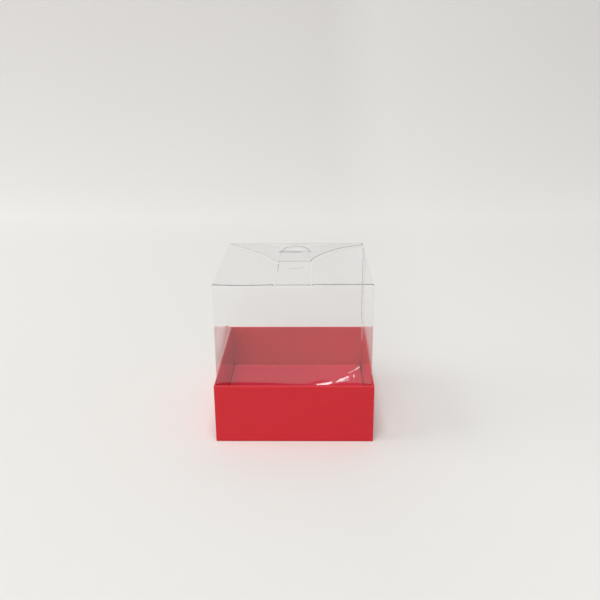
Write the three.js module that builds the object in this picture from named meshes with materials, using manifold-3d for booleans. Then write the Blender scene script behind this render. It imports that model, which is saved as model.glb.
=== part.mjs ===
import * as THREE from 'three';
import { mergeVertices } from 'three/addons/utils/BufferGeometryUtils.js';
import Module from 'manifold-3d';

const wasm = await Module();
wasm.setup();

// Gift box. A cover of clear film, folded from one sheet and glued along one edge,
// stands in a tray folded from one sheet of card, round a raised card platform.
// Millimetres, Z up. The origin is the middle of the tray's underside.
// The front of the box faces -Y.

// Overall sizes
const trayWidth = 80;
const trayHeight = 31.4;
const boxHeight = 84.2;
const platformHeight = 7;

// Sheets, and the air left between them
const cardThickness = 0.32;
const filmThickness = 0.25;
const plyGap = 0.04;
const creaseGap = 0.1;
const flapGap = 0.08;
const slidingGap = 0.31;

// Tray: each wall is the card going up, rolled over the rim and down again,
// with the corner tabs of its neighbours caught between the two plies
const rimRadius = 0.45;
const innerCreaseRadius = 0.1;
const bottomCreaseRadius = 0.25;
const footLength = 12;
const footTipRadius = 2;
const mitreGap = 0.3;
const cornerTabLength = 18;
const cornerTabTaper = 3;
const cornerTabRadius = 2;

// Platform: a card deck on four folded legs
const platformClearance = 0.2;
const tabStep = 0.45;
const tabStepRun = 1;
const tabStepClearance = 0.6;

// Cover: four panels, and the glue tab inside the right panel at the back
const panelCornerRadius = 0.8;
const glueTabWidth = 9;
const glueTabInset = 3;
const glueTabTaper = 4;
const glueTabGap = 0.08;

// Top of the cover: two dust flaps lowest, then the back flap, then the front tongue,
// which goes down through the slit in the back flap and lies under it
const tongueRootWidth = 17;
const tongueWidth = 16.4;
const reliefWidth = 0.8;
const reliefDepth = 1;
const slitFront = 19;
const slitOpening = 2.2;
const slitLength = 17.4;
const tongueTipReach = 33.3;
const backFlapReach = 1.2;
const backFlapShoulder = 3.5;
const backFlapTipWidth = 18.4;
const backFlapTipRadius = 2;
const dustFlapReach = 8.9;
const dustFlapTaper = 1.2;
const dustFlapRadius = 1.5;
const dustFlapDroop = THREE.MathUtils.degToRad(2);

// Worked out from the sizes above
const trayHalf = trayWidth / 2;
const wallThickness = 3 * cardThickness + 2 * plyGap;
const trayInner = trayHalf - wallThickness;
const coverHalf = trayInner - slidingGap;
const coverInner = coverHalf - filmThickness;
const layerPitch = filmThickness + flapGap;
const tongueTop = boxHeight;
const backFlapTop = tongueTop - layerPitch;
const dustFlapTop = backFlapTop - layerPitch;
const footBottom = cardThickness + plyGap;
const footTop = footBottom + cardThickness;
const sheetBottom = footTop + plyGap;
const flapRoot = coverInner - creaseGap;

const quarterTurn = Math.PI / 2;
const arcSteps = 6;
const tipArcSteps = 24;

// Materials
const cardMaterial = () => new THREE.MeshStandardMaterial({
  color: 0xc7343b,
  roughness: 0.62,
  metalness: 0,
});

const filmMaterial = () => new THREE.MeshStandardMaterial({
  color: 0xf1f4f4,
  roughness: 0.08,
  metalness: 0,
  transparent: true,
  opacity: 0.28,
});

// An outline from corners [x, y, radius], with each rounded corner drawn as an arc
function roundedOutline(corners, target = new THREE.Shape()) {
  corners.forEach(([x, y, radius = 0], index) => {
    const here = new THREE.Vector2(x, y);
    if (radius === 0) {
      if (index === 0) target.moveTo(x, y);
      else target.lineTo(x, y);
      return;
    }
    const [beforeX, beforeY] = corners.at(index - 1);
    const [afterX, afterY] = corners[(index + 1) % corners.length];
    const toBefore = new THREE.Vector2(beforeX, beforeY).sub(here).normalize();
    const toAfter = new THREE.Vector2(afterX, afterY).sub(here).normalize();
    const halfAngle = Math.acos(toBefore.dot(toAfter)) / 2;
    const run = radius / Math.tan(halfAngle);
    const start = here.clone().addScaledVector(toBefore, run);
    const end = here.clone().addScaledVector(toAfter, run);
    const inward = toBefore.clone().add(toAfter).normalize();
    const centre = here.clone().addScaledVector(inward, radius / Math.sin(halfAngle));
    const clockwise = toBefore.cross(toAfter) > 0;
    if (index === 0) target.moveTo(start.x, start.y);
    else target.lineTo(start.x, start.y);
    target.absarc(centre.x, centre.y, radius,
      start.clone().sub(centre).angle(), end.clone().sub(centre).angle(), clockwise);
  });
  target.closePath();
  return target;
}

function extrude(shape, depth, curveSegments = arcSteps) {
  return new THREE.ExtrudeGeometry(shape, { depth, bevelEnabled: false, curveSegments });
}

// A sheet drawn in plan, lying with its underside at the given height
function layFlat(shape, thickness, underside, curveSegments) {
  return extrude(shape, thickness, curveSegments).translate(0, 0, underside);
}

// A sheet drawn as seen from the front, standing with its outer face at y = -outer
function standUp(shape, thickness, outer) {
  return extrude(shape, thickness).rotateX(quarterTurn).translate(0, thickness - outer, 0);
}

// A section drawn inward and upward from y = -outer, carried along X
function carryAlong(section, length, outer) {
  return extrude(section, length)
    .rotateX(quarterTurn)
    .rotateZ(quarterTurn)
    .translate(-length / 2, -outer, 0);
}

function toSolid(geometry) {
  const bare = geometry.clone();
  bare.deleteAttribute('normal');
  bare.deleteAttribute('uv');
  const merged = mergeVertices(bare);
  return new wasm.Manifold(new wasm.Mesh({
    numProp: 3,
    vertProperties: new Float32Array(merged.attributes.position.array),
    triVerts: new Uint32Array(merged.index.array),
  }));
}

function toGeometry(solid) {
  const mesh = solid.getMesh();
  const geometry = new THREE.BufferGeometry();
  geometry.setAttribute('position', new THREE.BufferAttribute(mesh.vertProperties, 3));
  geometry.setIndex(new THREE.BufferAttribute(mesh.triVerts, 1));
  geometry.computeVertexNormals();
  return geometry;
}

function block([x0, y0, z0], [x1, y1, z1]) {
  return new THREE.BoxGeometry(x1 - x0, y1 - y0, z1 - z0)
    .translate((x0 + x1) / 2, (y0 + y1) / 2, (z0 + z1) / 2);
}

function cutAway(geometry, cutters) {
  const cut = (solid, cutter) => solid.subtract(toSolid(cutter));
  return toGeometry(cutters.reduce(cut, toSolid(geometry)));
}

function piece(name, geometry, material) {
  const mesh = new THREE.Mesh(geometry, material);
  mesh.name = name;
  return mesh;
}

// The same side of the box, turned to each of the places named
function turned(object, quarterTurns) {
  const group = new THREE.Group();
  group.rotation.z = quarterTurns * quarterTurn;
  group.add(object);
  return group;
}

// Tray

// Section of a rolled wall: outer ply, rim and inner ply, open below
function rolledWall(length) {
  const cavityTop = trayHeight - cardThickness;
  const section = roundedOutline([
    [0, 0, bottomCreaseRadius],
    [cardThickness, 0],
    [cardThickness, cavityTop, innerCreaseRadius],
    [wallThickness - cardThickness, cavityTop, innerCreaseRadius],
    [wallThickness - cardThickness, footBottom],
    [wallThickness, footBottom],
    [wallThickness, trayHeight, rimRadius],
    [0, trayHeight, rimRadius],
  ]);
  return carryAlong(section, length, trayHalf);
}

// The front and back walls keep their outer ply and rim to the full width,
// and their inner ply stops short of the side walls
function fullWidthWall() {
  const clear = trayHalf;
  const innerEnd = trayHalf - cardThickness - plyGap;
  const behindOuterPly = -trayHalf + cardThickness;
  const underRim = trayHeight - cardThickness;
  const endCutters = [-1, 1].map((side) => block(
    [Math.min(side * innerEnd, side * 2 * clear), behindOuterPly, -clear],
    [Math.max(side * innerEnd, side * 2 * clear), 0, underRim],
  ));
  return cutAway(rolledWall(trayWidth), endCutters);
}

// The side walls' rim and inner ply fit between the front and back walls,
// and only their outer ply runs on to the corner
function betweenWall() {
  const clear = trayHalf;
  const rimEnd = trayInner - plyGap;
  const outerPlyInside = -trayHalf + cardThickness;
  const outerPlyTop = trayHeight - cardThickness - plyGap;
  const endCutters = [-1, 1].flatMap((side) => {
    const near = Math.min(side * rimEnd, side * 2 * clear);
    const far = Math.max(side * rimEnd, side * 2 * clear);
    return [
      block([near, outerPlyInside, -clear], [far, 0, 2 * clear]),
      block([near, -2 * clear, outerPlyTop], [far, 0, 2 * clear]),
    ];
  });
  return cutAway(rolledWall(2 * (trayHalf - cardThickness - plyGap)), endCutters);
}

// The foot of a wall's inner ply, folded in over the floor, with mitred ends
function foot() {
  const root = trayInner - plyGap;
  const tip = root - footLength;
  return layFlat(roundedOutline([
    [-(root - mitreGap), -root],
    [root - mitreGap, -root],
    [tip - mitreGap, -tip, footTipRadius],
    [-(tip - mitreGap), -tip, footTipRadius],
  ]), cardThickness, footBottom);
}

// The tab that a side wall sends round the corner, between the plies of its neighbour
function cornerTab(side) {
  const root = trayHalf - cardThickness - plyGap;
  const free = root - cornerTabLength;
  const top = trayHeight - cardThickness - plyGap;
  const outline = roundedOutline([
    [side * root, footBottom],
    [side * root, top],
    [side * free, top - cornerTabTaper, cornerTabRadius],
    [side * free, footBottom + cornerTabTaper, cornerTabRadius],
  ]);
  return standUp(outline, cardThickness, root);
}

function tray() {
  const group = new THREE.Group();
  const floorHalf = trayHalf - cardThickness - plyGap;
  const floor = layFlat(roundedOutline([
    [-floorHalf, -floorHalf],
    [floorHalf, -floorHalf],
    [floorHalf, floorHalf],
    [-floorHalf, floorHalf],
  ]), cardThickness, 0);
  group.add(piece('tray_floor', floor, cardMaterial()));
  ['front', 'right', 'back', 'left'].forEach((side, turns) => {
    const wall = turns % 2 === 0 ? fullWidthWall() : betweenWall();
    group.add(turned(piece(`tray_wall_${side}`, wall, cardMaterial()), turns));
    group.add(turned(piece(`tray_foot_${side}`, foot(), cardMaterial()), turns));
  });
  group.add(piece('tray_corner_tab_front_left', cornerTab(-1), cardMaterial()));
  group.add(piece('tray_corner_tab_front_right', cornerTab(1), cardMaterial()));
  group.add(turned(piece('tray_corner_tab_back_right', cornerTab(-1), cardMaterial()), 2));
  group.add(turned(piece('tray_corner_tab_back_left', cornerTab(1), cardMaterial()), 2));
  return group;
}

// Platform

// The deck fills the cover, and its right edge steps in past the glue tab
function platform() {
  const group = new THREE.Group();
  const half = coverInner - platformClearance;
  const inset = half - cardThickness - plyGap;
  const stepped = half - tabStep;
  const stepEnd = coverInner - glueTabWidth - tabStepClearance;
  const stepStart = stepEnd - tabStepRun;
  const legTop = platformHeight - cardThickness - plyGap;
  const deck = layFlat(roundedOutline([
    [-half, -half],
    [half, -half],
    [half, stepStart],
    [stepped, stepEnd],
    [stepped, half],
    [-half, half],
  ]), cardThickness, platformHeight - cardThickness);
  group.add(piece('platform_deck', deck, cardMaterial()));
  const legEnds = [[-half, half], [-inset, stepStart], [-stepped, half], [-inset, inset]];
  ['front', 'right', 'back', 'left'].forEach((side, turns) => {
    const [start, end] = legEnds[turns];
    const leg = standUp(roundedOutline([
      [start, sheetBottom],
      [end, sheetBottom],
      [end, legTop],
      [start, legTop],
    ]), cardThickness, half);
    group.add(turned(piece(`platform_leg_${side}`, leg, cardMaterial()), turns));
  });
  return group;
}

// Cover

// The front panel's top edge is cut free except at the tongue's crease,
// which has a small relief cut at each end
function frontPanel() {
  const creaseHalf = tongueRootWidth / 2;
  const reliefOuter = creaseHalf + reliefWidth;
  const reliefBottom = boxHeight - reliefDepth;
  return standUp(roundedOutline([
    [-coverHalf, sheetBottom],
    [coverHalf, sheetBottom],
    [coverHalf, boxHeight, panelCornerRadius],
    [reliefOuter, boxHeight],
    [reliefOuter, reliefBottom],
    [creaseHalf, reliefBottom],
    [creaseHalf, boxHeight],
    [-creaseHalf, boxHeight],
    [-creaseHalf, reliefBottom],
    [-reliefOuter, reliefBottom],
    [-reliefOuter, boxHeight],
    [-coverHalf, boxHeight, panelCornerRadius],
  ]), filmThickness, coverHalf);
}

function plainPanel(half, top) {
  return standUp(roundedOutline([
    [-half, sheetBottom],
    [half, sheetBottom],
    [half, top],
    [-half, top],
  ]), filmThickness, coverHalf);
}

// Folded from the back panel's edge, inside the right panel
function glueTab() {
  const outer = coverInner - glueTabGap;
  const root = coverInner - plyGap;
  const free = root - glueTabWidth;
  const bottom = sheetBottom + glueTabInset;
  const top = dustFlapTop - glueTabInset;
  return standUp(roundedOutline([
    [root, bottom],
    [root, top],
    [free, top - glueTabTaper],
    [free, bottom + glueTabTaper],
  ]), filmThickness, outer);
}

function cover() {
  const group = new THREE.Group();
  const sideHalf = coverInner - plyGap;
  group.add(piece('cover_panel_front', frontPanel(), filmMaterial()));
  group.add(turned(piece('cover_panel_back', plainPanel(coverHalf, backFlapTop), filmMaterial()), 2));
  group.add(turned(piece('cover_panel_right', plainPanel(sideHalf, dustFlapTop), filmMaterial()), 1));
  group.add(turned(piece('cover_panel_left', plainPanel(sideHalf, dustFlapTop), filmMaterial()), 3));
  group.add(turned(piece('cover_glue_tab', glueTab(), filmMaterial()), 1));
  return group;
}

// Top of the cover

// The flat part of the tongue, from the crease at the front to just before the slit
function tongue() {
  const rootHalf = tongueRootWidth / 2;
  const half = tongueWidth / 2;
  return layFlat(roundedOutline([
    [-rootHalf, -flapRoot],
    [rootHalf, -flapRoot],
    [half, slitFront - creaseGap],
    [-half, slitFront - creaseGap],
  ]), filmThickness, tongueTop - filmThickness);
}

// The tongue's round tip, which bends down through the slit and lies under the back flap
function tongueTip() {
  const above = tongueTop - filmThickness / 2;
  const below = dustFlapTop - filmThickness / 2;
  const slitBack = slitFront + slitOpening;
  const bendSteps = 10;
  const centreLine = Array.from({ length: bendSteps + 1 }, (_, step) => {
    const share = step / bendSteps;
    const ease = (1 - Math.cos(Math.PI * share)) / 2;
    return [slitFront + share * slitOpening, above + ease * (below - above)];
  });
  const ends = [...centreLine, [tongueTipReach, below]];
  const upperEdge = ends.map(([y, z]) => [y, z + filmThickness / 2]);
  const lowerEdge = ends.map(([y, z]) => [y, z - filmThickness / 2]);
  const section = roundedOutline([...lowerEdge, ...upperEdge.reverse()]);
  const strip = carryAlong(section, tongueWidth, 0);

  const plan = new THREE.Shape();
  plan.moveTo(-tongueWidth / 2, slitFront);
  plan.lineTo(tongueWidth / 2, slitFront);
  plan.lineTo(tongueWidth / 2, slitBack);
  plan.absellipse(0, slitBack, tongueWidth / 2, tongueTipReach - slitBack, 0, Math.PI, false, 0);
  plan.closePath();
  const column = layFlat(plan, boxHeight, boxHeight / 2, tipArcSteps);
  return toGeometry(toSolid(strip).intersect(toSolid(column)));
}

// A trapezoid from the back crease to mid depth, with the slit that takes the tongue
function backFlap() {
  const tipHalf = backFlapTipWidth / 2;
  const shape = roundedOutline([
    [flapRoot, flapRoot],
    [-flapRoot, flapRoot],
    [-flapRoot, flapRoot - backFlapShoulder],
    [-tipHalf, backFlapReach, backFlapTipRadius],
    [tipHalf, backFlapReach, backFlapTipRadius],
    [flapRoot, flapRoot - backFlapShoulder],
  ]);
  const slitBack = slitFront + slitOpening;
  const slitEndRadius = slitOpening / 2 - plyGap;
  shape.holes.push(roundedOutline([
    [-slitLength / 2, slitFront, slitEndRadius],
    [slitLength / 2, slitFront, slitEndRadius],
    [slitLength / 2, slitBack, slitEndRadius],
    [-slitLength / 2, slitBack, slitEndRadius],
  ], new THREE.Path()));
  return layFlat(shape, filmThickness, backFlapTop - filmThickness);
}

// Drawn from its crease at x = 0, which lies at the panel's inner face, just below the flap
function dustFlap(side) {
  const reach = coverInner - dustFlapReach;
  const tipHalf = flapRoot - dustFlapTaper;
  return layFlat(roundedOutline([
    [-side * creaseGap, -flapRoot],
    [-side * reach, -tipHalf, dustFlapRadius],
    [-side * reach, tipHalf, dustFlapRadius],
    [-side * creaseGap, flapRoot],
  ]), filmThickness, creaseGap);
}

function coverTop() {
  const group = new THREE.Group();
  group.add(piece('cover_tongue', tongue(), filmMaterial()));
  group.add(piece('cover_tongue_tip', tongueTip(), filmMaterial()));
  group.add(piece('cover_back_flap', backFlap(), filmMaterial()));
  for (const [name, side] of [['left', -1], ['right', 1]]) {
    const crease = new THREE.Group();
    crease.position.set(side * coverInner, 0, dustFlapTop - filmThickness - creaseGap);
    crease.rotation.y = -side * dustFlapDroop;
    crease.add(piece(`cover_dust_flap_${name}`, dustFlap(side), filmMaterial()));
    group.add(crease);
  }
  return group;
}

const giftBox = new THREE.Group();
giftBox.add(tray(), platform(), cover(), coverTop());

export default giftBox;
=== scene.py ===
import math

import bpy
import numpy as np
from mathutils import Matrix, Vector, geometry


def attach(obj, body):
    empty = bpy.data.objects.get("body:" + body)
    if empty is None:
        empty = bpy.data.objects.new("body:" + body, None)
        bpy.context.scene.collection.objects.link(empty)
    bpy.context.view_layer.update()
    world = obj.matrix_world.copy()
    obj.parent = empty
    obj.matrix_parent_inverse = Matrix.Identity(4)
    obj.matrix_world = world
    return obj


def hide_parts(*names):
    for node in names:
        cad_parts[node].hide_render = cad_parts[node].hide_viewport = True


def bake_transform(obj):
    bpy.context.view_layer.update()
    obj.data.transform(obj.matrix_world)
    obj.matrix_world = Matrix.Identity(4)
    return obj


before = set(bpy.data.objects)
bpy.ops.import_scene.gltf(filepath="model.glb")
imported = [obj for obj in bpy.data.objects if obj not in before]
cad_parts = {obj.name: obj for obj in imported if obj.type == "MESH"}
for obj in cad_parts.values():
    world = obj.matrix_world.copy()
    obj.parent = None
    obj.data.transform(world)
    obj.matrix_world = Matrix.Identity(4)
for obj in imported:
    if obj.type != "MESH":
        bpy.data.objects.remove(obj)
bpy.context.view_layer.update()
scene = bpy.context.scene
mm = 0.001
print("frame loaded,", len(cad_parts), "nodes")


# Camera

cameraView = {
    "place": (0.00922, -0.35562, 0.18891),
    "pitchDown": 19.555,
    "yaw": -1.066,
    "roll": -0.447,
    "lens": 42.31,
    "sensor": 36.0,
}


def placeCamera(view):
    pitch, yaw, roll = (math.radians(view[key]) for key in ("pitchDown", "yaw", "roll"))
    ahead = Vector((math.sin(yaw) * math.cos(pitch), math.cos(yaw) * math.cos(pitch),
                    -math.sin(pitch)))
    level = Vector((math.cos(yaw), -math.sin(yaw), 0))
    upright = level.cross(ahead)
    right = level * math.cos(roll) + upright * math.sin(roll)
    up = upright * math.cos(roll) - level * math.sin(roll)
    data = bpy.data.cameras.new("camera")
    data.lens = view["lens"]
    data.sensor_width = view["sensor"]
    camera = bpy.data.objects.new("camera", data)
    turn = Matrix((right, up, -ahead)).transposed().to_4x4()
    camera.matrix_world = Matrix.Translation(view["place"]) @ turn
    scene.collection.objects.link(camera)
    scene.camera = camera


placeCamera(cameraView)
scene.view_settings.view_transform = "Standard"
scene.cycles.transparent_max_bounces = 32  # up to a dozen film faces lie behind each other
scene.cycles.max_bounces = 24
scene.cycles.glossy_bounces = 16  # for the narrow gap between film and card
scene.cycles.caustics_reflective = False
print("camera placed")


# Material kit

# a value inside a material: arithmetic on it adds the Math nodes
class Wire:
    def __init__(self, finish, socket):
        self.finish = finish
        self.socket = socket

    def maths(self, operation, *terms):
        return self.finish.add("ShaderNodeMath", {"operation": operation}, dict(enumerate(terms)))

    def __add__(self, other):
        return self.maths("ADD", self, other)

    def __radd__(self, other):
        return self.maths("ADD", other, self)

    def __sub__(self, other):
        return self.maths("SUBTRACT", self, other)

    def __mul__(self, other):
        return self.maths("MULTIPLY", self, other)

    def __rmul__(self, other):
        return self.maths("MULTIPLY", other, self)

    def __pow__(self, other):
        return self.maths("POWER", self, other)


def setStops(ramp, stops):
    while len(ramp.elements) < len(stops):
        ramp.elements.new(0.5)
    for element, (position, color) in zip(ramp.elements, stops):
        element.position = position
        element.color = color


class Finish:
    def __init__(self, name):
        self.material = bpy.data.materials.new(name)
        self.material.use_nodes = True
        self.tree = self.material.node_tree
        self.tree.nodes.clear()

    # any node: its type, its settings, then what goes into its sockets
    def add(self, kind, settings=None, sockets=None, output=0):
        node = self.tree.nodes.new(kind)
        for name, value in (settings or {}).items():
            if name == "stops":
                setStops(node.color_ramp, value)
            else:
                setattr(node, name, value)
        for name, value in (sockets or {}).items():
            if isinstance(value, Wire):
                self.tree.links.new(value.socket, node.inputs[name])
            else:
                node.inputs[name].default_value = value
        return Wire(self, node.outputs[output] if node.outputs else None)

    def objectPoint(self):
        return self.add("ShaderNodeTexCoord", output="Object")

    def noise(self, scale, detail=2.0, roughness=0.5, stretch=(1, 1, 1)):
        point = self.add("ShaderNodeMapping", None,
                         {"Vector": self.objectPoint(), "Scale": stretch})
        return self.add("ShaderNodeTexNoise", None,
                        {"Vector": point, "Scale": scale, "Detail": detail, "Roughness": roughness})

    def ramp(self, value, stops):
        return self.add("ShaderNodeValToRGB", {"stops": stops}, {"Fac": value})

    def mixColor(self, share, first, second):
        return self.add("ShaderNodeMix", {"data_type": "RGBA"},
                        {0: share, 6: first, 7: second}, output=2)

    def bump(self, height, distance, strength=1.0):
        return self.add("ShaderNodeBump", None,
                        {"Height": height, "Distance": distance, "Strength": strength})

    def attribute(self, name):
        return self.add("ShaderNodeAttribute", {"attribute_name": name}, output="Fac")

    def close(self, shader):
        self.add("ShaderNodeOutputMaterial", None, {"Surface": shader})
        return self.material


def rgb(red, green, blue):
    return (red, green, blue, 1.0)


# Card

cardLook = {
    "red": rgb(0.610, 0.0172, 0.0290),
    "deepRed": rgb(0.570, 0.0137, 0.0238),
    "worn": rgb(0.80, 0.12, 0.13),
    "gloss": 0.28,
    "roughness": 0.52,
}


def makeCard(name, look):
    card = Finish(name)
    fibres = card.noise(2600.0, 3.0, 0.6, (1, 1, 2.2))
    clouds = card.noise(45.0, 2.0)
    wear = card.attribute("wear")
    tone = card.mixColor(clouds * 0.55 + fibres * 0.45, look["red"], look["deepRed"])
    # paler at folds: partly worn card, partly a painted highlight
    worn = card.mixColor(wear * (0.35 + fibres * 0.6), tone, look["worn"])
    grain = card.bump(fibres * 0.7 + card.noise(900.0, 2.0) * 0.3, 0.00004, 0.55)
    shader = card.add("ShaderNodeBsdfPrincipled", None, {
        "Base Color": worn,
        "Roughness": look["roughness"] + (fibres - 0.5) * 0.16,
        "Specular IOR Level": look["gloss"],
        "Normal": grain,
    })
    return card.close(shader)


cutCardLook = {
    "core": rgb(0.66, 0.20, 0.19),
    "fibre": rgb(0.42, 0.05, 0.06),
    "roughness": 0.85,
}


def makeCutCard(name, look):
    card = Finish(name)
    layers = card.noise(5200.0, 3.0, 0.7, (1, 1, 3))
    shader = card.add("ShaderNodeBsdfPrincipled", None, {
        "Base Color": card.mixColor(layers, look["core"], look["fibre"]),
        "Roughness": look["roughness"],
        "Specular IOR Level": 0.2,
        "Normal": card.bump(layers, 0.00005, 0.6),
    })
    return card.close(shader)


# painted haze and light: the platform's card is a little paler and bluer, for the film's bluish
# sheen and the brighter inner floor
deckCardLook = cardLook | {"red": rgb(0.645, 0.030, 0.066), "deepRed": rgb(0.605, 0.026, 0.058)}

cardFinish = makeCard("redCard", cardLook)
deckFinish = makeCard("redCardPaintedHaze", deckCardLook)
cutCardFinish = makeCutCard("redCardCut", cutCardLook)


# Film

filmLook = {
    "clear": rgb(0.997, 1.0, 1.0),
    "faceOn": 0.050,  # what each face of the film reflects, seen square on
    "edgeOn": 0.72,  # and seen along the sheet
    "mirror": rgb(0.99, 0.985, 1.0),
    "passed": rgb(0.992, 0.992, 0.992),
    "roughness": 0.045,
}


def makeFilm(name, look):
    film = Finish(name)
    facing = film.add("ShaderNodeLayerWeight", None, {"Blend": 0.5}, output="Facing")
    waves = film.noise(38.0, 1.0)
    rolled = film.noise(420.0, 2.0, 0.5, (1, 1, 0.05))
    scuffs = film.noise(700.0, 4.0, 0.72, (0.25, 1, 1))
    shine = film.add("ShaderNodeBsdfPrincipled", None, {
        "Base Color": look["mirror"],
        "Metallic": 1.0,
        "Roughness": look["roughness"] + scuffs * 0.05,
        "Normal": film.bump(waves + rolled * 0.02, 0.0005, 0.10),
    })
    through = film.add("ShaderNodeBsdfTransparent", None, {"Color": look["clear"]})
    reflected = look["faceOn"] + (look["edgeOn"] - look["faceOn"]) * facing ** 5
    seen = film.add("ShaderNodeMixShader", None, {0: reflected, 1: through, 2: shine})
    # light on its way to the card passes almost freely: what the film turns back stays in the box
    fromLamp = film.add("ShaderNodeLightPath", output="Is Shadow Ray")
    fromWall = film.add("ShaderNodeLightPath", output="Is Diffuse Ray")
    passed = film.add("ShaderNodeBsdfTransparent", None, {"Color": look["passed"]})
    isLight = fromLamp + fromWall
    return film.close(film.add("ShaderNodeMixShader", None, {0: isLight, 1: seen, 2: passed}))


filmLineLook = {
    # cut, foldLine, softCut and faint paint the film's edges and folds grey: painted shade
    "cut": {"color": rgb(0.24, 0.24, 0.245), "clear": rgb(0.97, 0.97, 0.97), "share": 0.64},
    "crease": {"color": rgb(0.80, 0.80, 0.80), "clear": rgb(0.995, 0.995, 0.995), "share": 0.015},
    "foldLine": {"color": rgb(0.16, 0.16, 0.165), "clear": rgb(0.98, 0.98, 0.98), "share": 0.23},
    "softCut": {"color": rgb(0.30, 0.30, 0.305), "clear": rgb(0.98, 0.98, 0.98), "share": 0.27},
    "faint": {"color": rgb(0.55, 0.55, 0.55), "clear": rgb(0.99, 0.99, 0.99), "share": 0.08},
    # the last two finishes are painted highlights: white glints and fainter sheens
    "white": {"color": rgb(0.95, 0.95, 0.95), "clear": rgb(0.99, 0.99, 0.99), "share": 0.55},
    "paintedSheen": {"color": rgb(0.95, 0.95, 0.95), "clear": rgb(0.99, 0.99, 0.99), "share": 0.34},
}


# cut edges and folds painted grey or dark (painted shade), pressed creases frosted, and painted
# white or hazy highlights
def makeFilmLine(name, look):
    film = Finish(name)
    grains = film.noise(1500.0, 3.0, 0.65)
    dull = film.add("ShaderNodeBsdfPrincipled", None, {
        "Base Color": film.mixColor(grains * 0.35, look["color"], rgb(0.75, 0.75, 0.76)),
        "Roughness": 0.33 + grains * 0.06,
        "Normal": film.bump(grains, 0.00005, 0.4),
    })
    through = film.add("ShaderNodeBsdfTransparent", None, {"Color": look["clear"]})
    share = look["share"] * (0.7 + grains * 0.6)
    return film.close(film.add("ShaderNodeMixShader", None, {0: share, 1: through, 2: dull}))


filmFinish = makeFilm("clearFilm", filmLook)
filmSet = [filmFinish] + [makeFilmLine(name, look) for name, look in filmLineLook.items()]
plain, cut, crease, foldLine, softCut, faint, white, paintedSheen = range(8)  # places in filmSet
cardSet = [cardFinish, cutCardFinish]
deckSet = [deckFinish, cutCardFinish]
print("materials made")


# Sheet kit: flat patterns, creases and folding, all in millimetres

# a path through (a, b, radius) corners, as distances along it and points on it
def softPath(corners, arcSteps=7):
    points, bends = [], []
    for index, (a, b, *radius) in enumerate(corners):
        here = np.array([a, b], float)
        if not radius or index in (0, len(corners) - 1):
            points.append(here)
            continue
        before = np.array(corners[index - 1][:2], float) - here
        after = np.array(corners[index + 1][:2], float) - here
        before, after = before / np.linalg.norm(before), after / np.linalg.norm(after)
        half = math.acos(max(-1.0, min(1.0, before @ after))) / 2
        inward = (before + after) / np.linalg.norm(before + after)
        centre = here + inward * radius[0] / math.sin(half)
        start = here + before * radius[0] / math.tan(half) - centre
        end = here + after * radius[0] / math.tan(half) - centre
        arc = math.pi - 2 * half
        first = len(points)
        for step in range(arcSteps + 1):
            share = step / arcSteps
            turn = start * math.sin((1 - share) * arc) + end * math.sin(share * arc)
            points.append(centre + turn / math.sin(arc))
        bends.append((first, len(points) - 1))
    points = np.array(points)
    steps = np.linalg.norm(np.diff(points, axis=0), axis=1)
    along = np.concatenate([[0.0], np.cumsum(steps)])
    return {"along": along, "points": points, "bends": [(along[i], along[j]) for i, j in bends]}


def onPath(path, distance):
    a = np.interp(distance, path["along"], path["points"][:, 0])
    b = np.interp(distance, path["along"], path["points"][:, 1])
    return a, b


# sorted values with every long gap filled evenly
def filled(values, spacing):
    stops = sorted(set(round(float(value), 5) for value in values))
    lines = [stops[0]]
    for stop in stops[1:]:
        parts = max(1, math.ceil((stop - lines[-1]) / spacing - 1e-6))
        start = lines[-1]
        lines += [start + (stop - start) * part / parts for part in range(1, parts + 1)]
    return np.array(lines)


def smooth(low, high, value):
    share = np.clip((np.asarray(value, float) - low) / (high - low), 0, 1)
    return share * share * (3 - 2 * share)


# gives a folded pattern its thickness; a face's finish goes on to the rim beside it,
# and beside a plain face the rim is a cut edge, which is place 1 in every set
def makeSheet(name, flat, faces, faceFinish, fold, thickness, finishes, wear=None):
    flat = np.asarray(flat, float)
    u, v = flat[:, 0], flat[:, 1]
    reach = 0.03  # how far apart the slope is measured
    middle = fold(u, v)
    acrossU = fold(u + reach, v) - fold(u - reach, v)
    acrossV = fold(u, v + reach) - fold(u, v - reach)
    normal = np.cross(acrossU, acrossV)
    normal /= np.linalg.norm(normal, axis=1)[:, None]
    upper = middle + normal * thickness / 2
    lower = middle - normal * thickness / 2
    count = len(flat)
    edgeFinish = {}
    for face, finish in zip(faces, faceFinish):
        for first, second in zip(face, face[1:] + face[:1]):
            edgeFinish[(first, second)] = finish or cut
    rim = [edge for edge in edgeFinish if (edge[1], edge[0]) not in edgeFinish]
    allFaces = [list(face) for face in faces]
    allFaces += [[index + count for index in reversed(face)] for face in faces]
    allFaces += [[first + count, second + count, second, first] for first, second in rim]
    mesh = bpy.data.meshes.new(name)
    mesh.from_pydata((np.vstack([upper, lower]) * mm).tolist(), [], allFaces)
    rimFinishes = [edgeFinish[edge] for edge in rim]
    mesh.polygons.foreach_set("material_index", list(faceFinish) + list(faceFinish) + rimFinishes)
    mesh.polygons.foreach_set("use_smooth", [True] * len(allFaces))
    sharp = {frozenset(edge) for edge in rim} | {frozenset((a + count, b + count)) for a, b in rim}
    for edge in mesh.edges:
        edge.use_edge_sharp = frozenset(edge.vertices) in sharp
    for finish in finishes:
        mesh.materials.append(finish)
    if wear is not None:
        layer = mesh.attributes.new("wear", "FLOAT", "POINT")
        layer.data.foreach_set("value", np.tile(wear(u, v), 2).astype(np.float32))
    mesh.validate()
    piece = bpy.data.objects.new(name, mesh)
    scene.collection.objects.link(piece)
    return piece


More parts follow.
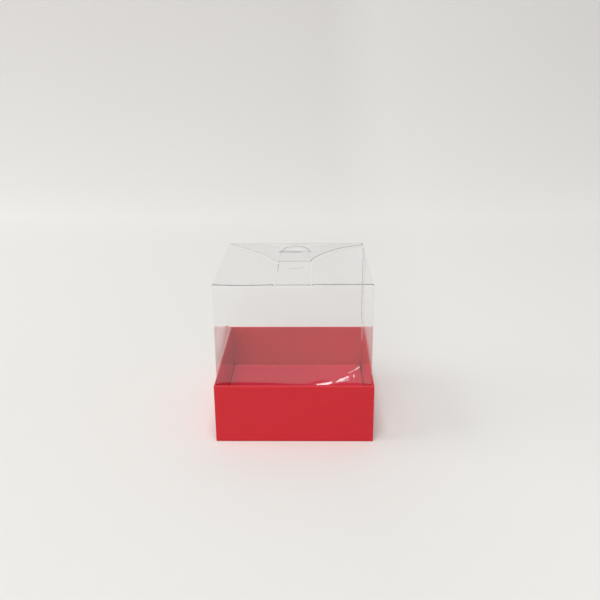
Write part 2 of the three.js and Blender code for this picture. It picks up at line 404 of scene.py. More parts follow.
# the cells of a grid of lines that the pattern keeps; place(u, v) may slide the lines
def gridPattern(uLines, vLines, keep=None, place=None, finishOf=None):
    columns = len(uLines)
    points = [(u, v) for v in vLines for u in uLines]
    cells, finishes = [], []
    for row in range(len(vLines) - 1):
        for column in range(columns - 1):
            u = (uLines[column] + uLines[column + 1]) / 2
            v = (vLines[row] + vLines[row + 1]) / 2
            if keep and not keep(u, v):
                continue
            corner = row * columns + column
            cells.append([corner, corner + 1, corner + columns + 1, corner + columns])
            finishes.append(finishOf(u, v) if finishOf else 0)
    used = sorted({index for cell in cells for index in cell})
    renumber = {old: new for new, old in enumerate(used)}
    cells = [[renumber[index] for index in cell] for cell in cells]
    points = np.array([points[index] for index in used])
    if place:
        points = place(points)
    return points, cells, finishes


def roundCorners(corners, steps=8):
    outline = []
    for index, (x, y, *radius) in enumerate(corners):
        if not radius:
            outline.append((x, y))
            continue
        before, after = corners[index - 1][:2], corners[(index + 1) % len(corners)][:2]
        path = softPath([before, (x, y, radius[0]), after], steps)
        outline += [tuple(point) for point in path["points"][1:-1]]
    return outline


def inside(x, y, loop):
    within = False
    for (x1, y1), (x2, y2) in zip(loop, loop[1:] + loop[:1]):
        if (y1 > y) != (y2 > y) and x < (x2 - x1) * (y - y1) / (y2 - y1) + x1:
            within = not within
    return within


def distanceTo(x, y, loop):
    best = 1e9
    for (x1, y1), (x2, y2) in zip(loop, loop[1:] + loop[:1]):
        dx, dy = x2 - x1, y2 - y1
        share = max(0.0, min(1.0, ((x - x1) * dx + (y - y1) * dy) / max(dx * dx + dy * dy, 1e-12)))
        best = min(best, math.hypot(x - x1 - share * dx, y - y1 - share * dy))
    return best


# how far points lie off a line, how far along it, and its length
def besideLine(x, y, start, end):
    (x0, y0), (x1, y1) = start, end
    length = math.hypot(x1 - x0, y1 - y0)
    off = ((x - x0) * (y1 - y0) - (y - y0) * (x1 - x0)) / length
    on = ((x - x0) * (x1 - x0) + (y - y0) * (y1 - y0)) / length
    return off, on, length


# splits a loop's long sides, and where they cross the given v lines
def splitLoop(loop, spacing, vLines):
    result = []
    for (x1, y1), (x2, y2) in zip(loop, loop[1:] + loop[:1]):
        shares = {0.0}
        parts = max(1, math.ceil(math.hypot(x2 - x1, y2 - y1) / spacing))
        shares |= {part / parts for part in range(parts)}
        if abs(y2 - y1) > 1e-6:
            crossings = [(line - y1) / (y2 - y1) for line in vLines]
            shares |= {share for share in crossings if 0.001 < share < 0.999}
        result += [(x1 + (x2 - x1) * share, y1 + (y2 - y1) * share) for share in sorted(shares)]
    return result


def moveLoop(loop, distance):
    moved = []
    for index, (x, y) in enumerate(loop):
        before = Vector((x, y)) - Vector(loop[index - 1])
        after = Vector(loop[(index + 1) % len(loop)]) - Vector((x, y))
        before.normalize()
        after.normalize()
        side = Vector((-before.y - after.y, before.x + after.x))
        side.normalize()
        stretch = max(0.5, side.dot(Vector((-before.y, before.x))))
        moved.append((x + side.x * distance / stretch, y + side.y * distance / stretch))
    return moved


# a cut shape (anticlockwise outline, clockwise holes) filled with triangles
# marks are loops that only get a finish of their own
def cutPattern(outline, holes, uLines, vLines, bands, spacing, finishAt, marks=()):
    def movedBy(band):
        loops = [splitLoop(moveLoop(outline, band), spacing, vLines)]
        return loops + [splitLoop(moveLoop(hole, band), spacing, []) for hole in holes]

    levels = [movedBy(band) for band in [0.0] + bands]
    sliver = 0.24  # grid points closer to a loop than this would make thin triangles

    def kept(u, v, level):
        return inside(u, v, level[0]) and not any(inside(u, v, hole) for hole in level[1:])

    points, edges = [], []
    for level in levels + [list(marks)]:
        for loop in level:
            first = len(points)
            points += loop
            edges += [(first + i, first + (i + 1) % len(loop)) for i in range(len(loop))]
    for v in vLines:
        for u in uLines:
            near = min(distanceTo(u, v, loop) for loop in levels[-1] + list(marks))
            if kept(u, v, levels[-1]) and near > sliver:
                points.append((u, v))
    made = geometry.delaunay_2d_cdt([Vector(point) for point in points], edges, [], 1, 1e-5)
    vertices = [(vertex.x, vertex.y) for vertex in made[0]]
    faces, finishes = [], []
    for face in made[2]:
        x = sum(vertices[i][0] for i in face) / len(face)
        y = sum(vertices[i][1] for i in face) / len(face)
        if not kept(x, y, levels[0]):
            continue
        (ax, ay), (bx, by), (cx, cy) = (vertices[i] for i in face[:3])
        turn = (bx - ax) * (cy - ay) - (by - ay) * (cx - ax)
        faces.append(list(face) if turn > 0 else list(reversed(face)))
        finishes.append(finishAt(x, y, sum(kept(x, y, level) for level in levels[1:])))
    used = sorted({index for face in faces for index in face})
    renumber = {old: new for new, old in enumerate(used)}
    faces = [[renumber[index] for index in face] for face in faces]
    return np.array([vertices[index] for index in used]), faces, finishes


print("sheet kit ready")


# Cover sleeve: one strip of film round the four sides, glued inside the right panel

sleeve = {
    "half": 38.525,
    "film": 0.25,
    "bottom": 0.72,
    "foldRadius": 0.45,
    "edgeBand": 1.0,  # height of the rows along the two cut edges
    "cutStrip": 0.30,
    "topStrip": 0.42,
    "frontTop": 84.2,
    "frontFold": 83.86,
    "backFold": 83.42,
    "sideFold": 83.06,
    "cornerDrop": 0.8,
    "topSag": {"from": -38.5, "to": -9.0, "depth": 0.28},
    "tongueHalf": 8.5,
    "reliefWidth": 0.8,
    "tabPlane": 38.195,
    "tabFoldRadius": 0.35,
    "tabEnd": 29.36,
    "tabHeights": (3.7, 80.5),
    "tabTaper": 4.0,
    "tabCut": 0.9,
    "tabShades": (0.27, 0.41),  # shares of its height where the tab's edge is painted white (painted highlight), then dark (painted shade)
    "tabCurl": (1.3, 0.5),  # its edge stands off the panel: over this width, by this much
    "curlHeight": (37.3, 41.5),
    "rightEnd": 38.3,
    "endDark": 0.36,  # share of its height above which the right panel's end is painted dark (painted shade)
    "hollows": {"front": 0.30, "back": 0.25, "left": 1.8, "right": 1.5},
    "hollowHeight": (37.3, 52.0),
    "bellyHeight": (2.0, 84.0),
    "stiffWidth": 11.0,  # the right panel stays flat where the tab is glued to it
    "ripple": (0.06, 9.4),
    "lean": {"out": 0.30, "height": (76.0, 84.2), "share": 0.39},  # the front's upper left
}

# the crumple low on the right of the front panel, and the shallow dent at its left
crumple = {
    "ridgeStart": (8.0, 30.0),
    "ridgeRise": (26.0, 8.6),
    "ridgeEnd": 1.3,
    "slope": 0.19,
    "soften": 0.25,
    "deepest": 0.42,
    "facetDrop": 0.68,
    "facetHeight": 1.85,
    "facets": ((15.1, 6.6, 1.0), (25.0, 4.1, 1.0)),  # middle, reach and strength
    "grooveStops": (-2.8, -1.1, -0.92, 0.0),  # down from the ridge, in facet heights
    "grooveFade": 0.3,
    "grooveDepths": (0.0, 1.0, 0.98, 0.06, 0.0),
    "fadeLeft": (7.0, 15.0),
    "fadeRight": (33.0, 38.2),
    "fadeDown": (9.0, 23.0),
    "leftDent": {"from": (-39.0, -36.0), "to": (-16.0, 4.0), "depth": 0.34,
                 "height": (31.0, 34.2)},
    # pinched lines: from, to, width and height
    "nips": (((28.8, 38.9), (32.6, 41.1), 0.50, 0.31), ((29.3, 35.7), (30.6, 36.4), 0.45, 0.28),
             ((19.4, 33.2), (22.2, 34.6), 0.36, 0.22)),
    "nipFade": (0.5, 0.6),
    # painted highlights along the crumple: bright glints, and fainter sheens
    "paintedGlints": (((30.6, 39.9), (32.2, 41.0)), ((29.5, 36.0), (30.0, 37.0))),
    "paintedSheens": (((26.9, 37.5), (32.6, 41.4)), ((29.6, 35.2), (29.9, 36.0)),
             ((23.4, 33.2), (27.2, 34.2))),
    "markHalf": 0.21,
}


def crumpleDepth(x, z, look):
    startX, startZ = look["ridgeStart"]
    run, climb = look["ridgeRise"]
    ridge = startZ + climb * np.clip((x - startX) / run, 0, look["ridgeEnd"]) ** 2
    below = ridge - z
    down = smooth(*look["fadeDown"], z)
    depth = look["slope"] * look["soften"] * np.logaddexp(0, below / look["soften"])
    depth = look["deepest"] * (1 - np.exp(-depth / look["deepest"]))
    depth = depth * down * smooth(*look["fadeLeft"], x) * (1 - smooth(*look["fadeRight"], x))
    # each facet tips up: a groove just above the ridge, and a flat face from it out to the ridge
    strength = sum(share * np.exp(-(((x - middle) / reach) ** 4))
                   for middle, reach, share in look["facets"])
    stops = [stop * look["facetHeight"] for stop in look["grooveStops"]] + [look["grooveFade"]]
    depth = depth + look["facetDrop"] * strength * np.interp(below, stops, look["grooveDepths"])
    before, after = look["nipFade"]
    for start, end, width, high in look["nips"]:
        off, on, length = besideLine(x, z, start, end)
        ends = smooth(-before, after, on) * (1 - smooth(length - after, length + before, on))
        depth = depth - high * np.exp(-(off / width) ** 2) * ends
    dent = look["leftDent"]
    across = smooth(*dent["from"], x) * (1 - smooth(*dent["to"], x))
    return depth + dent["depth"] * across * (1 - smooth(*dent["height"], z)) * down


sleeveHalf, foldRadius = sleeve["half"], sleeve["foldRadius"]
sleevePath = softPath([
    (sleeve["tabPlane"], sleeve["tabEnd"]),
    (sleeve["tabPlane"], sleeveHalf, sleeve["tabFoldRadius"]),
    (-sleeveHalf, sleeveHalf, foldRadius),
    (-sleeveHalf, -sleeveHalf, foldRadius),
    (sleeveHalf, -sleeveHalf, foldRadius),
    (sleeveHalf, sleeve["rightEnd"]),
])
tabFold, backLeft, frontLeft, frontRight = sleevePath["bends"]
sleeveLength = sleevePath["along"][-1]
frontCentre = (frontLeft[1] + frontRight[0]) / 2  # where the front panel's x is 0
frontLow = sleeve["bottom"] + sleeve["edgeBand"]
frontHigh = sleeve["frontTop"] - sleeve["edgeBand"]
panelSpans = {
    "back": (tabFold[1], backLeft[0]),
    "left": (backLeft[1], frontLeft[0]),
    "front": (frontLeft[1], frontRight[0]),
    "right": (frontRight[1], sleeveLength - sleeve["stiffWidth"]),
}


def sleeveTop(s):
    x = s - frontCentre
    edge = (frontRight[0] - frontLeft[1]) / 2 + foldRadius
    drop = sleeve["cornerDrop"]
    into = np.clip(drop - (edge - abs(x)), 0, drop)
    cutTop = sleeve["frontTop"] - (drop - np.sqrt(np.maximum(drop ** 2 - into ** 2, 0)))
    left, right, depth = (sleeve["topSag"][key] for key in ("from", "to", "depth"))
    sag = depth * np.clip(np.sin((x - left) / (right - left) * math.pi), 0, 1) * (x < right)
    foldTop = np.where(abs(x) < sleeve["tongueHalf"] + 0.01, sleeve["frontFold"], cutTop - sag)
    tab = sleeve["tabHeights"][1] - sleeve["tabTaper"] * (1 - s / max(tabFold[0], 1e-6))
    top = np.where(s < tabFold[1], tab, sleeve["backFold"])
    top = np.where(s > backLeft[1], sleeve["sideFold"], top)
    top = np.where((s > frontLeft[0]) & (s < frontRight[1]), foldTop, top)
    return np.where(s >= frontRight[1], sleeve["sideFold"], top)


def sleeveBottom(s):
    tab = sleeve["tabHeights"][0] + sleeve["tabTaper"] * (1 - s / max(tabFold[0], 1e-6))
    return np.where(s < tabFold[1], tab, sleeve["bottom"])


# row 0..1 runs up the strip; -1..0 and 1..2 are the millimetre at its two cut edges
def sleeveFlat(points):
    s, row = points[:, 0], points[:, 1]
    top, bottom, band = sleeveTop(s), sleeveBottom(s), sleeve["edgeBand"]
    low, high = bottom + band, top - band
    middle = low + (high - low) * np.clip(row, 0, 1)
    z = np.where(row < 0, low + row, np.where(row > 1, top - 2 * band + row, middle))
    return np.column_stack([s, z])


def foldSleeve(s, z):
    x, y = onPath(sleevePath, s)
    step = 0.02
    within = np.clip(s, step, sleeveLength - step)
    ahead = onPath(sleevePath, within + step)
    behind = onPath(sleevePath, within - step)
    tangent = np.column_stack([ahead[0] - behind[0], ahead[1] - behind[1]])
    tangent /= np.linalg.norm(tangent, axis=1)[:, None]
    outward = np.column_stack([tangent[:, 1], -tangent[:, 0]])
    low, high = sleeve["bellyHeight"]
    belly = np.sin(np.clip((z - low) / (high - low), 0, 1) * math.pi)
    above = smooth(*sleeve["hollowHeight"], z)
    # the panels sink in above the tray
    push = np.zeros_like(s)
    for panel, (start, end) in panelSpans.items():
        share = np.clip((s - start) / (end - start), 0, 1)
        push = push - sleeve["hollows"][panel] * np.sin(share * math.pi) * belly * above
    curlWide, curlHigh = sleeve["tabCurl"]
    curl = np.clip(1 - s / curlWide, 0, 1) ** 2 * smooth(*sleeve["curlHeight"], z)
    push = push - curlHigh * curl
    # the front panel ripples, leans out at its upper left and is crumpled
    start, end = panelSpans["front"]
    across = np.clip((s - start) / (end - start), 0, 1)
    rippleHigh, rippleTurn = sleeve["ripple"]
    lean = sleeve["lean"]
    bow = np.sin(np.clip(across / lean["share"], 0, 1) * math.pi)
    front = push + rippleHigh * np.sin(across * rippleTurn) * above
    front = front + lean["out"] * (smooth(*lean["height"], z) * bow)
    front = front - crumpleDepth(s - frontCentre, z, crumple)
    push = np.where((s > start) & (s < end), front, push)
    return np.column_stack([x + outward[:, 0] * push, y + outward[:, 1] * push, z])


def buildSleeve():
    strip, topStrip = sleeve["cutStrip"], sleeve["topStrip"]
    tongueHalf, reliefWidth = sleeve["tongueHalf"], sleeve["reliefWidth"]
    stops = [0, strip, 0.6, sleeve["tabCut"], sleeve["tabCurl"][0], sleeveLength - strip,
             sleeveLength]
    notch = [frontCentre + side * place for side in (-1, 1)
             for place in (tongueHalf, tongueHalf + reliefWidth, tongueHalf + reliefWidth + strip)]
    crumpled = [frontCentre + x for x in np.arange(6, 38.2, 0.5)]
    nearCorner = [frontLeft[1] + gap for gap in (0.2, 0.45, 0.8, 1.3)]
    nearCorner += [frontRight[0] - gap for gap in (0.2, 0.45, 0.8)]
    uLines = filled(stops + list(sleevePath["along"]) + notch + crumpled + nearCorner, 3.0)
    heights = np.concatenate([np.arange(24, 30, 0.8), np.arange(30, 43, 0.3),
                              np.arange(43, 47, 0.8)])
    fineRows = [(z - frontLow) / (frontHigh - frontLow) for z in heights]
    vLines = filled([-1, -1 + strip, 0, 1, 2 - topStrip, 2] + fineRows, 3.0 / 82)

    def isNotch(s, row):
        return row > 1 and tongueHalf < abs(s - frontCentre) < tongueHalf + reliefWidth

    def isNear(x, z, marks):
        return any(distanceTo(x, z, [start, end]) < crumple["markHalf"] for start, end in marks)

    # the sleeve's cut edges and folds are painted grey or dark: painted shade
    def finishOf(s, row):
        x = s - frontCentre
        # the glue tab's edge: a painted highlight low down, painted shade above
        if s < sleeve["tabCut"]:
            whiteFrom, darkFrom = sleeve["tabShades"]
            if row > darkFrom:
                return softCut
            if s >= strip:
                return plain
            return white if row > whiteFrom else faint
        if abs(x) < sleeveHalf:
            z = frontLow + row * (frontHigh - frontLow)
            # painted highlights: glints and sheens along the crumple
            if isNear(x, z, crumple["paintedGlints"]):
                return white
            if isNear(x, z, crumple["paintedSheens"]):
                return paintedSheen
        # the right panel's end: painted shade high up, faint grey below
        if s > sleeveLength - strip:
            return softCut if row > sleeve["endDark"] else faint
        if row < -1 + strip:
            return faint
        isFront = frontLeft[0] < s < frontRight[1]
        if row > 2 - topStrip:
            if isFront:
                return cut if abs(x) > tongueHalf else foldLine
            return cut if s < tabFold[0] else crease
        if row > 1 and isFront and tongueHalf < abs(x) < tongueHalf + reliefWidth + strip:
            return cut
        return plain

    flat, faces, finishes = gridPattern(
        uLines, vLines, lambda s, row: not isNotch(s, row), sleeveFlat, finishOf)
    piece = makeSheet("coverSleeve", flat, faces, finishes, foldSleeve, sleeve["film"], filmSet)
    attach(piece, "cover")
    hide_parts("cover_panel_front", "cover_panel_right", "cover_panel_back",
                "cover_panel_left", "cover_glue_tab")


buildSleeve()
print("cover sleeve built")


# Cover top: back flap with its slit, two dust flaps, and the tongue

backFlap = {
    "film": 0.25,
    "fold": [(38.525, 83.45), (38.525, 83.745, 0.28), (1.2, 83.745)],
    "rootHalf": 38.0,
    "leftEdge": [(-37.4, 36.6), (-31.9, 32.0), (-25.0, 24.3), (-17.7, 15.7), (-13.4, 8.8)],
    "rightEdge": [(38.0, 34.6), (31.7, 31.4), (27.0, 28.8), (22.6, 25.4), (18.4, 20.8),
                  (14.4, 15.2), (11.2, 9.8), (9.3, 5.2)],
    "tip": (-9.9, 8.6),
    "tipCorner": 1.2,
    "edgeRadius": 14.0,
    "slit": (19.2, 20.9, 8.7),  # its front, its back and half its length
    "slitCorner": 0.7,
    "slitReach": 0.5,
    "cutStrip": 0.36,
    "softEdge": -8.6,  # the cut edge looks softer on the left of this x
    "softSlit": 2.0,  # and the slit on the right of this one
    "fineRows": (16.0, 17.5, 22.5, 24.0),
    "sag": 0.30,
    "sagFrom": (9.0, 24.0),
    "sagEnd": 40.0,
    "bulge": {"high": 0.10, "middle": 23.5, "reach": 5.0, "half": (12.0, 6.0)},
}


# its pattern is drawn from above with the root first, so its x is mirrored
def buildBackFlap(look):
    path = softPath(look["fold"])
    length = path["along"][-1]
    tipY = look["fold"][-1][0]
    foldEnd = path["bends"][0][1]

    def vAt(y):
        return length - (y - tipY)

    rootHalf = look["rootHalf"]
    leftEdge = [(-x, vAt(y), look["edgeRadius"]) for x, y in look["leftEdge"]]
    rightEdge = [(-x, vAt(y), look["edgeRadius"]) for x, y in reversed(look["rightEdge"])]
    tip = [(-x, length, look["tipCorner"]) for x in look["tip"]]
    leftEdge[0], rightEdge[-1] = leftEdge[0][:2], rightEdge[-1][:2]
    outline = roundCorners([(-rootHalf, 0), (rootHalf, 0)] + leftEdge + tip + rightEdge, 4)
    front, back, slitHalf = look["slit"]
    slit = roundCorners([
        (-slitHalf, vAt(back), look["slitCorner"]), (-slitHalf, vAt(front), look["slitCorner"]),
        (slitHalf, vAt(front), look["slitCorner"]), (slitHalf, vAt(back), look["slitCorner"]),
    ], 6)
    vLines = filled(list(path["along"]) + [vAt(y) for y in look["fineRows"]], 2.5)
    sagStart, sagFull = look["sagFrom"]
    uLines = filled([-rootHalf, -sagStart, 0, sagStart, rootHalf], 2.5)

    # the flap's cut edge and slit are painted grey: painted shade, softer in places
    def finishAt(x, v, band):
        if v < foldEnd:
            return crease
        if band == 0:
            onSlit = distanceTo(x, v, slit) < look["slitReach"]
            isSoft = -x > look["softSlit"] if onSlit else -x < look["softEdge"]
            return softCut if isSoft else cut
        return plain

    flat, faces, finishes = cutPattern(
        outline, [slit], uLines, vLines, [look["cutStrip"]], 2.5, finishAt)
    bulge = look["bulge"]

    def fold(x, v):
        y, z = onPath(path, v)
        rest = smooth(foldEnd, length, v)
        hang = rest * (1 - (x / look["sagEnd"]) ** 2) * smooth(sagStart, sagFull, abs(x))
        lift = smooth(bulge["reach"], 0, abs(y - bulge["middle"])) * smooth(*bulge["half"], abs(x))
        return np.column_stack([-x, y, z - look["sag"] * hang + bulge["high"] * lift])

    piece = makeSheet("coverBackFlap", flat, faces, finishes, fold, look["film"], filmSet)
    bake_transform(piece)
    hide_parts("cover_back_flap")


dustFlap = {
    "film": 0.25,
    "fold": [(38.525, 83.09), (38.525, 83.415, 0.28), (8.9, 82.38)],
    "rootHalf": 38.0,
    "endHalf": 37.1,
    "endCorner": 1.5,
    "cutStrip": 0.30,
    "sag": 0.25,
}


def buildDustFlap(look, side, name):
    path = softPath(look["fold"])
    length = path["along"][-1]
    foldEnd = path["bends"][0][1]
    rootHalf, endHalf = look["rootHalf"], look["endHalf"]
    outline = roundCorners([
        (-rootHalf, 0), (rootHalf, 0),
        (endHalf, length, look["endCorner"]), (-endHalf, length, look["endCorner"]),
    ])
    vLines = filled(path["along"], 2.5)
    uLines = filled([-rootHalf, rootHalf], 2.8)

    # the flap's cut edge is painted faint grey: painted shade
    def finishAt(x, v, band):
        if v < foldEnd:
            return crease
        return faint if band == 0 else plain

    flat, faces, finishes = cutPattern(
        outline, [], uLines, vLines, [look["cutStrip"]], 2.5, finishAt)

    def fold(u, v):
        x, z = onPath(path, v)
        rest = smooth(foldEnd, length, v)
        sag = look["sag"] * rest * np.cos(u / rootHalf * math.pi / 2)
        return np.column_stack([side * x, side * u, z - sag])

    piece = makeSheet(name, flat, faces, finishes, fold, look["film"], filmSet)
    body = "dust_flap_right" if side > 0 else "dust_flap_left"
    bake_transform(piece)
    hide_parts("cover_" + body)


tongue = {
    "film": 0.25,
    "rootHalf": 8.5,
    "slitHalf": 8.2,
    "slit": (19.0, 21.2),
    "fold": [(-38.525, 83.88), (-38.525, 84.075, 0.18), (17.6, 84.075, 3.0),
             (22.0, 83.415, 3.0), (33.3, 83.415)],
    "edgeBands": [0.30, 0.70],
    "darkSide": (-16.5, -5.0),  # the left edge is painted dark here (painted shade)
    "darkTip": 17.0,  # and both of them behind this
    "crease": ((-3.1, -13.4), (5.0, -10.3)),  # a pressed line across the tongue
    "creaseDepth": 0.12,
    "creaseHalf": 0.28,
    "creaseSoft": 0.6,
    "creaseFade": 1.5,
}


def buildTongue(look):
    path = softPath(look["fold"])
    length = path["along"][-1]
    foldEnd = path["bends"][0][1]
    slitFront, slitBack = look["slit"]

    def vAt(y):
        return np.interp(y, path["points"][:, 0], path["along"])

    rootHalf, slitHalf = look["rootHalf"], look["slitHalf"]
    tipStart = vAt(slitBack)
    arc = [(slitHalf * math.cos(angle), tipStart + (length - tipStart) * math.sin(angle))
           for angle in np.linspace(0, math.pi, 33)]
    outline = [(-rootHalf, 0), (rootHalf, 0), (slitHalf, vAt(slitFront))] + arc
    outline += [(-slitHalf, vAt(slitFront))]
    bendRows = [vAt(y) for y in np.arange(15.5, 24.1, 0.5)]
    creaseRows = [vAt(y) for y in np.arange(-16, -7.9, 0.5)]
    vLines = filled(list(path["along"]) + bendRows + creaseRows, 1.6)
    uLines = filled([-rootHalf, rootHalf], 0.9)
    darkTip, (darkStart, darkEnd) = vAt(look["darkTip"]), vAt(look["darkSide"])

    (x0, y0), (x1, y1) = look["crease"]
    run = math.hypot(x1 - x0, y1 - y0)
    dx, dy = (y0 - y1) / run * look["creaseHalf"], (x1 - x0) / run * look["creaseHalf"]
    pressed = [(x0 - dx, vAt(y0 - dy)), (x1 - dx, vAt(y1 - dy)),
               (x1 + dx, vAt(y1 + dy)), (x0 + dx, vAt(y0 + dy))]
    fade = look["creaseFade"]

    # painted shade darkens the edges, the fold and the pressed line; a painted sheen fills the tip
    def finishAt(x, v, band):
        if v < foldEnd or inside(x, v, pressed):
            return foldLine
        if v > tipStart:
            return cut if band < 2 else paintedSheen
        if band == 0:
            return cut if v > darkTip or (x < 0 and darkStart < v < darkEnd) else faint
        return plain

    flat, faces, finishes = cutPattern(
        outline, [], uLines, vLines, look["edgeBands"], 1.6, finishAt,
        [splitLoop(pressed, 1.2, [])])

    def fold(x, v):
        y, z = onPath(path, v)
        off, on, length = besideLine(x, y, *look["crease"])
        ends = smooth(-fade, fade, on) * (1 - smooth(length - fade, length + fade, on))
        z = z - look["creaseDepth"] * np.exp(-(off / look["creaseSoft"]) ** 2) * ends
        return np.column_stack([x, y, z])

    piece = makeSheet("coverTongue", flat, faces, finishes, fold, look["film"], filmSet)
    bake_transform(piece)
    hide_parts("cover_tongue", "cover_tongue_tip")


buildBackFlap(backFlap)
buildDustFlap(dustFlap, -1, "coverDustFlapLeft")
buildDustFlap(dustFlap, 1, "coverDustFlapRight")
buildTongue(tongue)
print("cover top built")


# Tray walls: each one rolled over its rim and down inside, ending in a foot on the floor

trayWall = {
    "card": 0.32,
    "half": 40.0,
    "height": 31.4,
    "rimCorner": 0.32,
    "bottomCorner": 0.60,
    "bottomLap": 0.95,
    "innerPly": 0.88,
    "innerLean": 0.29,  # the inner ply leans in at its foot, close to the film
    "leanHeight": (4.0, 16.0),
    "footHeight": 0.52,
    "footReach": 13.0,
    "footCorner": 0.25,
    # half of the width along the section: the front and back walls, the side walls between them
    "fullWidths": (40.0, 40.0, 39.62, 38.9, 38.6, 26.7),
    "sideWidths": (39.62, 39.62, 38.92, 38.6, 26.7),
    "bulges": (0.12, 0.10),  # of the outer and the inner ply
    "bulgeHalf": 22.0,
    "rimWearAndSheen": 0.16,
}


def buildTrayWall(look, turns, name, side):
    fullWidth = turns % 2 == 0
    rimZ = look["height"] - look["card"] / 2
    outer, inner = look["card"] / 2, look["innerPly"]
    path = softPath([
        (look["bottomLap"], outer), (outer, outer, look["bottomCorner"]),
        (outer, rimZ, look["rimCorner"]), (inner, rimZ, look["rimCorner"]),
        (inner, look["footHeight"], look["footCorner"]), (look["footReach"], look["footHeight"]),
    ])
    length = path["along"][-1]
    rimOut, rimIn, footBend = path["bends"][1:]

    def halfWidth(v):
        if fullWidth:
            stops = [0, rimIn[1], rimIn[1] + 0.3, footBend[1], footBend[1] + 0.02, length]
            return np.interp(v, stops, look["fullWidths"])
        stops = [0, rimOut[0] - 0.25, rimOut[0] - 0.02, footBend[1], length]
        return np.interp(v, stops, look["sideWidths"])

    nearRim = [rimOut[0] - gap for gap in (0.25, 0.8, 1.2)] + [rimIn[1] + gap for gap in (0.3, 1.0)]
    vLines = filled(list(path["along"]) + nearRim + [0.2, length - 0.3], 2.6)
    uLines = filled([-1, -0.985, 0.985, 1], 0.05)

    def place(points):
        return np.column_stack([points[:, 0] * halfWidth(points[:, 1]), points[:, 1]])

    flat, faces, finishes = gridPattern(uLines, vLines, None, place)

    def fold(x, v):
        inward, z = onPath(path, v)
        across = np.cos(np.clip(x / look["bulgeHalf"], -1, 1) * math.pi / 2) ** 2
        belly = np.sin(np.clip(z / look["height"], 0, 1) * math.pi)
        onInner = (v > rimIn[1]) & (v < footBend[0])
        outerBulge, innerBulge = look["bulges"]
        inward = inward + np.where(v < rimOut[0], outerBulge * across * belly, 0)
        inward = inward - np.where(onInner, innerBulge * across * belly, 0)
        inward = inward + look["innerLean"] * (1 - smooth(*look["leanHeight"], z)) * (v > rimIn[1])
        return np.column_stack([x, inward - look["half"], z])

    # paler rim folds and wall ends: partly worn card, partly a painted highlight on the rounded rim
    def wear(x, v):
        rim = np.exp(-((v - (rimOut[0] + rimOut[1]) / 2) / 0.42) ** 2)
        second = 0.6 * np.exp(-((v - (rimIn[0] + rimIn[1]) / 2) / 0.40) ** 2)
        ends = 0.5 * smooth(39.2, 40.0, np.abs(x))
        return np.clip(look["rimWearAndSheen"] * (rim + second + ends), 0, 1)

    def turned(x, v):
        points = fold(x, v)
        angle = turns * math.pi / 2
        c, s = math.cos(angle), math.sin(angle)
        x, y, z = points.T
        return np.column_stack([x * c - y * s, x * s + y * c, z])

    piece = makeSheet(name, flat, faces, finishes, turned, look["card"], cardSet, wear)
    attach(piece, "tray")
    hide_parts("tray_wall_" + side, "tray_foot_" + side)


for turns, side in enumerate(("front", "right", "back", "left")):
    buildTrayWall(trayWall, turns, "trayWall" + side.capitalize(), side)

for name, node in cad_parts.items():
    if name == "tray_floor" or name.startswith("tray_corner_tab"):
        node.data.materials.clear()
        node.data.materials.append(cardFinish)
print("tray built")


# Platform: a square deck with four legs folded down

platform = {
    "card": 0.32,
    "half": 38.18,
    "deck": 6.84,
    "foldRadius": 0.18,
    "legBottom": 0.72,
    "sag": 0.22,
    "sagHalf": 38.0,
    "wider": 0.03,  # at the sides, where the film stays flat
    "tabStep": (27.8, 28.8, 0.34),  # the right edge steps in past the glue tab: from, to, depth
    "stepSide": (33.0, 37.0),
    "edgeWearAndSheen": 0.55,
}


def buildPlatform(look):
    section = softPath([(0, look["deck"]), (look["half"], look["deck"], look["foldRadius"]),
                        (look["half"], look["legBottom"])])
    length = section["along"][-1]
    bendStart = section["bends"][0][0]
    stops = list(section["along"]) + [length - 0.3]
    lines = filled([-stop for stop in stops] + stops, 2.8)

    def keep(p, q):
        return abs(p) < bendStart or abs(q) < bendStart

    def fold(p, q):
        x, dropX = onPath(section, np.abs(p))
        y, dropY = onPath(section, np.abs(q))
        z = dropX + dropY - look["deck"]
        bowX, bowY = (np.cos(np.clip(place / look["sagHalf"], -1, 1) * math.pi / 2)
                      for place in (p, q))
        sag = look["sag"] * bowX * bowY
        start, end, depth = look["tabStep"]
        step = depth * smooth(start, end, q) * smooth(*look["stepSide"], p)
        x = x * (1 + look["wider"] / look["half"])
        return np.column_stack([np.sign(p) * x - step, np.sign(q) * y, z - sag])

    # paler along the deck's folded edges: partly worn card, partly a painted highlight
    def wear(p, q):
        edgeX, edgeY = (np.exp(-((np.abs(place) - bendStart - 0.2) / 0.5) ** 2)
                        for place in (p, q))
        return look["edgeWearAndSheen"] * np.maximum(edgeX, edgeY)

    flat, faces, finishes = gridPattern(lines, lines, keep)
    piece = makeSheet("platform", flat, faces, finishes, fold, look["card"], deckSet, wear)
    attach(piece, "platform")
    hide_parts("platform_deck", "platform_leg_front", "platform_leg_right",
                "platform_leg_back", "platform_leg_left")


buildPlatform(platform)
print("platform built")


# Studio: a paper sweep, a window at the left, a lamp at the front and a light under the ceiling

sweep = {
    "front": -1.6,
    "bendStart": 0.42,
    "bendRadius": 0.62,
    "top": 1.5,
    "width": 3.2,
    # painted light and shade: paler where the floor gets less lamp light, darker up the backdrop
    "stops": [(0.0, rgb(0.785, 0.775, 0.752)), (0.33, rgb(0.830, 0.820, 0.800)),
              (0.46, rgb(0.865, 0.855, 0.835)), (0.57, rgb(0.805, 0.795, 0.775)),
              (0.72, rgb(0.755, 0.745, 0.725)), (0.92, rgb(0.700, 0.682, 0.665))],
    "paler": rgb(0.98, 0.975, 0.96),
    "palerShare": 0.22,  # painted light: paler towards the right, where less lamp light falls
    "palerFrom": (0.035, 0.12),
}


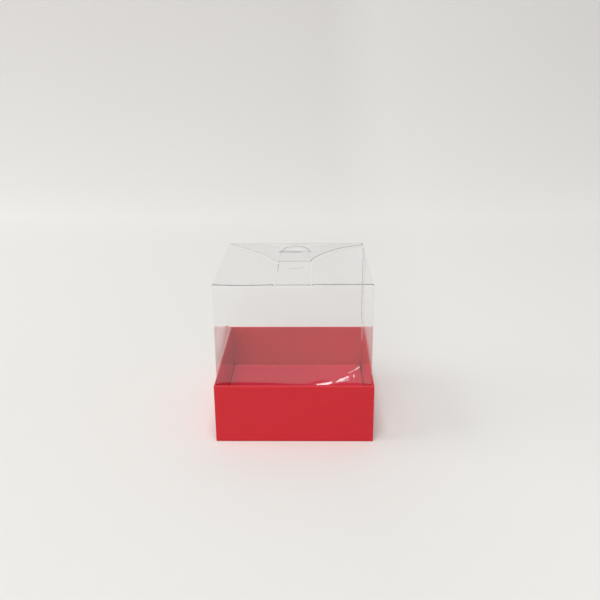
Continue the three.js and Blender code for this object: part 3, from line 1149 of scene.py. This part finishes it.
def makeSweepPaper(look):
    paper = Finish("sweepPaper")
    point = paper.objectPoint()
    depth = paper.add("ShaderNodeSeparateXYZ", None, {0: point}, output="Y")
    across = paper.add("ShaderNodeSeparateXYZ", None, {0: point}, output="X")
    mottle = paper.noise(3.0, 2.0)
    # the paper's tone is painted light and shade, following how the lamps light it
    color = paper.ramp(depth + (mottle - 0.5) * 0.05, look["stops"])
    start, end = look["palerFrom"]
    share = paper.add("ShaderNodeMapRange", None, {
        "Value": across, "From Min": start, "From Max": end, "To Max": look["palerShare"]})
    color = paper.mixColor(share, color, look["paler"])
    shader = paper.add("ShaderNodeBsdfPrincipled", None, {
        "Base Color": color,
        "Roughness": 0.9,
        "Specular IOR Level": 0.1,
        "Normal": paper.bump(paper.noise(900.0, 3.0), 0.0001, 0.15),
    })
    return paper.close(shader)


def buildSweep(look):
    bend, radius = look["bendStart"], look["bendRadius"]
    profile = [(look["front"], 0.0), (bend, 0.0)]
    profile += [(bend + radius * math.sin(angle), radius * (1 - math.cos(angle)))
                for angle in np.linspace(0, math.pi / 2, 25)[1:]]
    profile.append((bend + radius, look["top"]))
    side = look["width"] / 2
    points = [(x, y, z) for y, z in profile for x in (-side, side)]
    faces = [(2 * i, 2 * i + 1, 2 * i + 3, 2 * i + 2) for i in range(len(profile) - 1)]
    mesh = bpy.data.meshes.new("sweep")
    mesh.from_pydata(points, [], faces)
    mesh.polygons.foreach_set("use_smooth", [True] * len(faces))
    mesh.materials.append(makeSweepPaper(look))
    floor = bpy.data.objects.new("sweep", mesh)
    scene.collection.objects.link(floor)


lamps = {
    "window": {"place": (-1.30, -0.10, 0.52), "aim": (0, 0, 0.02),
               "size": (0.9, 0.7), "power": 7.2},
    "lamp": {"place": (-0.19, -1.15, 0.36), "aim": (0, 0, 0.03),
             "size": (0.62, 0.30), "power": 4.05},
    "ceiling": {"place": (-0.06, -0.68, 2.40), "aim": (0, 0, 0),
                "size": (1.2, 0.9), "power": 37.0},
}


def hangLamp(name, look):
    data = bpy.data.lights.new(name, "AREA")
    data.shape = "RECTANGLE"
    data.size, data.size_y = look["size"]
    data.energy = look["power"]
    lamp = bpy.data.objects.new(name, data)
    direction = Vector(look["aim"]) - Vector(look["place"])
    turn = direction.to_track_quat("-Z", "Y").to_matrix().to_4x4()
    lamp.matrix_world = Matrix.Translation(look["place"]) @ turn
    scene.collection.objects.link(lamp)


buildSweep(sweep)
for name, look in lamps.items():
    hangLamp(name, look)

room = {"color": rgb(1.0, 0.985, 0.965), "light": 0.19, "seen": 0.80}


# the room lights the box softly, and looks as pale as the paper where it is seen or mirrored
def buildRoom(look):
    world = bpy.data.worlds.new("room")
    world.use_nodes = True
    nodes, links = world.node_tree.nodes, world.node_tree.links
    path = nodes.new("ShaderNodeLightPath")
    level = path.outputs["Is Camera Ray"]
    for ray in ("Is Glossy Ray", "Is Transmission Ray"):
        total = nodes.new("ShaderNodeMath")
        links.new(level, total.inputs[0])
        links.new(path.outputs[ray], total.inputs[1])
        level = total.outputs[0]
    strength = nodes.new("ShaderNodeMapRange")
    strength.inputs["To Min"].default_value = look["light"]
    strength.inputs["To Max"].default_value = look["seen"]
    links.new(level, strength.inputs["Value"])
    links.new(strength.outputs[0], nodes["Background"].inputs["Strength"])
    nodes["Background"].inputs["Color"].default_value = look["color"]
    scene.world = world


buildRoom(room)
print("studio lit")

bpy.context.view_layer.update()
